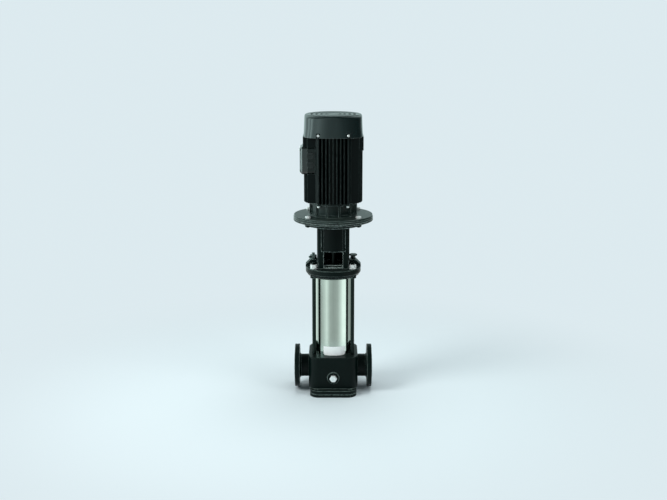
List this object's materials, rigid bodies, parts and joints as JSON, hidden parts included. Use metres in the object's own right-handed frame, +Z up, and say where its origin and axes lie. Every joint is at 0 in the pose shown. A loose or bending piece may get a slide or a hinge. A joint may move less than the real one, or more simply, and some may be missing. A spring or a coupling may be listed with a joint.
{
  "type": "vertical multistage pump",
  "caption": "Upright inline pump: cast base with two flanged ports, a stainless sleeve over a stack of stages, tie bolts, and a finned flange motor on a stool with coupling guards.",
  "frame": {"origin": "on the floor under the foot, on the pump's vertical axis", "axes": "+Z up along the shaft, X along both ports with suction towards -X, front towards -Y"},
  "size_m": [0.3, 0.3, 1.068],
  "materials": {
    "casting_paint": "semi-gloss paint on a sand casting",
    "motor_paint": "semi-gloss paint",
    "guard_paint": "satin paint on sheet",
    "stainless": "bright rolled stainless sheet",
    "shaft_steel": "ground",
    "zinc_plate": "bright zinc plate",
    "plug_metal": "dull plated steel",
    "coupling_iron": "machined iron",
    "rubber": "moulded",
    "bearing_plastic": "moulded black plastic",
    "seal_carbon": "lapped",
    "lamination": "stacked electrical sheet",
    "copper": "varnished winding"
  },
  "bodies": {
    "frame": {"pump_base": "casting_paint", "pump_head": "casting_paint", "motor_stool": "casting_paint", "drive_end_shield": "motor_paint", "stator_housing": "motor_paint", "rear_end_shield": "motor_paint", "fan_cover": "motor_paint", "terminal_box": "motor_paint", "terminal_box_lid": "motor_paint", "coupling_guard_front": "guard_paint", "coupling_guard_rear": "guard_paint", "outer_sleeve": "stainless", "suction_inlet": "stainless", "top_plate": "stainless", "stack_spring": "stainless", "chamber_1": "stainless", "chamber_2": "stainless", "chamber_3": "stainless", "chamber_4": "stainless", "chamber_5": "stainless", "chamber_6": "stainless", "chamber_7": "stainless", "bearing_outer_rings": "shaft_steel", "seal_seat": "shaft_steel", "stay_bolts": "zinc_plate", "stay_bolt_nuts": "zinc_plate", "stay_bolt_washers": "zinc_plate", "stool_bolts": "zinc_plate", "flange_bolts": "zinc_plate", "tie_screws": "zinc_plate", "guard_screws": "zinc_plate", "fan_cover_screws": "zinc_plate", "lid_screws": "zinc_plate", "drain_plug": "zinc_plate", "priming_plug": "plug_metal", "gauge_plug": "plug_metal", "sleeve_o_rings": "rubber", "drain_gasket": "rubber", "neck_rings": "bearing_plastic", "terminal_board": "bearing_plastic", "cable_entry_plugs": "bearing_plastic", "stator_core": "lamination", "stator_windings": "copper"},
    "rotor": {"motor_shaft": "shaft_steel", "rotor_core": "lamination", "cooling_fan": "bearing_plastic", "bearing_inner_rings": "shaft_steel", "coupling_halves": "coupling_iron", "coupling_screws": "zinc_plate", "coupling_pin": "shaft_steel", "pump_shaft": "shaft_steel", "seal_rotor": "seal_carbon", "impeller_1": "stainless", "impeller_2": "stainless", "impeller_3": "stainless", "impeller_4": "stainless", "impeller_5": "stainless", "impeller_6": "stainless", "impeller_7": "stainless"},
    "vent": {"vent_spindle": "plug_metal"}
  },
  "joints": [
    {"name": "shaft_spin", "type": "hinge", "parent": "frame", "child": "rotor", "pos_m": [0, 0, 0.6], "axis": [0, 0, 1], "continuous": true},
    {"name": "vent_turn", "type": "hinge", "parent": "frame", "child": "vent", "pos_m": [-0.076, 0, 0.53], "axis": [0, 0, 1], "range_deg": [0, 270]}
  ]
}
